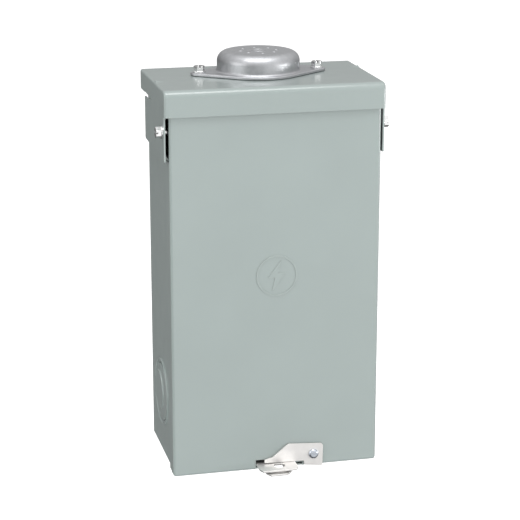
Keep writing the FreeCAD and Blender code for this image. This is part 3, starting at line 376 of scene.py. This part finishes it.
def make_knockout_rims():
    """Paint built up in a rolled rim around the large knockout on each side of the box."""
    mounts = {mount["name"]: mount for mount in frame["record"]["mounts"]}
    for side in ("left", "right"):
        mount = mounts["side_knockout_" + side]
        outward = Vector(mount["axis"])
        centre = Vector(mount["pos_m"]) - outward * KNOCKOUT_SLUG_RISE
        mesh = bead_ring(KNOCKOUT_RADIUS + RIM_CLEARANCE, RIM_WIDTH, RIM_RISE)
        turn = Vector((0, 0, 1)).rotation_difference(outward).to_matrix().to_4x4()
        mesh.transform(Matrix.Translation(centre) @ turn)
        add_piece("knockout_rim_" + side, mesh, "enclosure_paint", "enclosure")


def make_circuit_numbers():
    """Plain figures printed beside the breaker spaces on the inner cover."""
    cover_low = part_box("deadfront_cover")[0]
    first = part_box("main_breaker_case")[1].z - POLE_PITCH / 2
    for index in range(POLE_COUNT):
        text = bpy.data.curves.new("figure", "FONT")
        text.body = str(index + 1)
        text.size = NUMBER_SIZE
        text.offset = NUMBER_BOLDNESS
        text.align_x, text.align_y = "CENTER", "CENTER"
        text.extrude = INK_THICKNESS
        holder = bpy.data.objects.new("figure", text)
        bpy.context.scene.collection.objects.link(holder)
        bpy.context.view_layer.update()
        data = bpy.data.meshes.new_from_object(holder)
        bpy.data.objects.remove(holder)
        mesh = bmesh.new()
        mesh.from_mesh(data)
        height = first - index * POLE_PITCH
        spot = Vector((NUMBER_ACROSS, cover_low.y - INK_THICKNESS, height))
        mesh.transform(Matrix.Translation(spot) @ Matrix.Rotation(math.radians(90), 4, "X"))
        add_piece(f"circuit_number_{index + 1}", mesh, "insulator_plastic", "enclosure")


make_knockout_rims()
make_circuit_numbers()


# ---------------------------------------------------------------- camera, light and floor

CAMERA_PLACE = (-0.3371, -1.4651, 0.4198)
CAMERA_TURN = math.radians(13.40)
CAMERA_TILT = math.radians(15.96)
CAMERA_LENS = 124.68
SENSOR_WIDTH = 36
LIGHTS = (    # name, place, aim, width and height, watts
    ("key", (1.0, -1.9, 0.8), (0, -0.05, 0), (1.4, 1.4), 1.8),
    ("side", (2.0, -1.14, -0.17), (0, -0.1, -0.15), (0.7, 0.2), 16),
    ("front", (0.75, -2.2, -0.55), (0, -0.1, 0), (2.4, 1.4), 7.0),
    ("overhead", (-0.1, -0.55, 1.5), (0, -0.1, 0.16), (1.1, 0.7), 11.8),
    ("left", (-2.1, -0.7, 0.4), (0, -0.05, 0), (1.4, 1.4), 10.8),
)
BRIGHT_SIDE = (0.10, -0.26, 0.94)    # the direction that the studio's own light comes from
AMBIENT_LOW, AMBIENT_HIGH = 0.14, 1.22
WHITE = (1, 1, 1, 1)
FLOOR_SIZE = 60
FLOOR_DROP = 0.12
FLOOR_GLOW = 0.3


def look(location, direction):
    """Matrix of a camera or light that points along a direction."""
    return Matrix.Translation(location) @ direction.to_track_quat("-Z", "Y").to_matrix().to_4x4()


def make_camera():
    """Camera at the left of the door, looking a little down."""
    level = math.cos(CAMERA_TILT)
    direction = Vector((math.sin(CAMERA_TURN) * level, math.cos(CAMERA_TURN) * level,
                        -math.sin(CAMERA_TILT)))
    data = bpy.data.cameras.new("camera")
    data.lens = CAMERA_LENS
    data.sensor_width = SENSOR_WIDTH
    camera = bpy.data.objects.new("camera", data)
    bpy.context.scene.collection.objects.link(camera)
    camera.matrix_world = look(Vector(CAMERA_PLACE), direction)
    bpy.context.scene.camera = camera


def soft_light(name, location, target, size, power):
    """Rectangular area light aimed at a point."""
    data = bpy.data.lights.new(name, "AREA")
    data.shape = "RECTANGLE"
    data.size, data.size_y = size
    data.energy = power
    light = bpy.data.objects.new(name, data)
    bpy.context.scene.collection.objects.link(light)
    light.matrix_world = look(Vector(location), Vector(target) - Vector(location))


def make_world():
    """Dim light that grows towards one side, behind a plain white backdrop."""
    world = bpy.data.worlds.new("studio")
    world.use_nodes = True
    tree = world.node_tree
    backdrop = tree.nodes["Background"]
    backdrop.inputs["Color"].default_value = WHITE
    direction = tree.nodes.new("ShaderNodeTexCoord")
    towards = node(tree, "VectorMath", operation="DOT_PRODUCT")
    towards.inputs[1].default_value = Vector(BRIGHT_SIDE).normalized()
    tree.links.new(direction.outputs["Generated"], towards.inputs[0])
    ambient = spread(tree, towards.outputs["Value"], AMBIENT_LOW, AMBIENT_HIGH, -0.35, 1.0)
    seen = tree.nodes.new("ShaderNodeLightPath")
    pale = node(tree, "Math", operation="MAXIMUM")    # the backdrop itself shows as plain white
    tree.links.new(seen.outputs["Is Camera Ray"], pale.inputs[0])
    tree.links.new(ambient, pale.inputs[1])
    tree.links.new(pale.outputs["Value"], backdrop.inputs["Strength"])
    bpy.context.scene.world = world


def make_floor():
    """White table a little below the box."""
    bpy.ops.mesh.primitive_plane_add(size=FLOOR_SIZE, location=(0, 0, CAD_LOW.z - FLOOR_DROP))
    floor = bpy.context.object
    floor.name = "floor"
    material, _, shader = new_material("floor_white")
    shader.inputs["Base Color"].default_value = (0.90, 0.90, 0.90, 1)
    shader.inputs["Emission Color"].default_value = WHITE
    shader.inputs["Emission Strength"].default_value = FLOOR_GLOW
    shader.inputs["Roughness"].default_value = 0.9
    floor.data.materials.append(material)
    floor.visible_glossy = False    # the steel mirrors a dim room, not the white table


def make_studio():
    """World, lights and table."""
    bpy.context.scene.view_settings.view_transform = "Standard"
    make_world()
    for light in LIGHTS:
        soft_light(*light)
    make_floor()


make_camera()
make_studio()
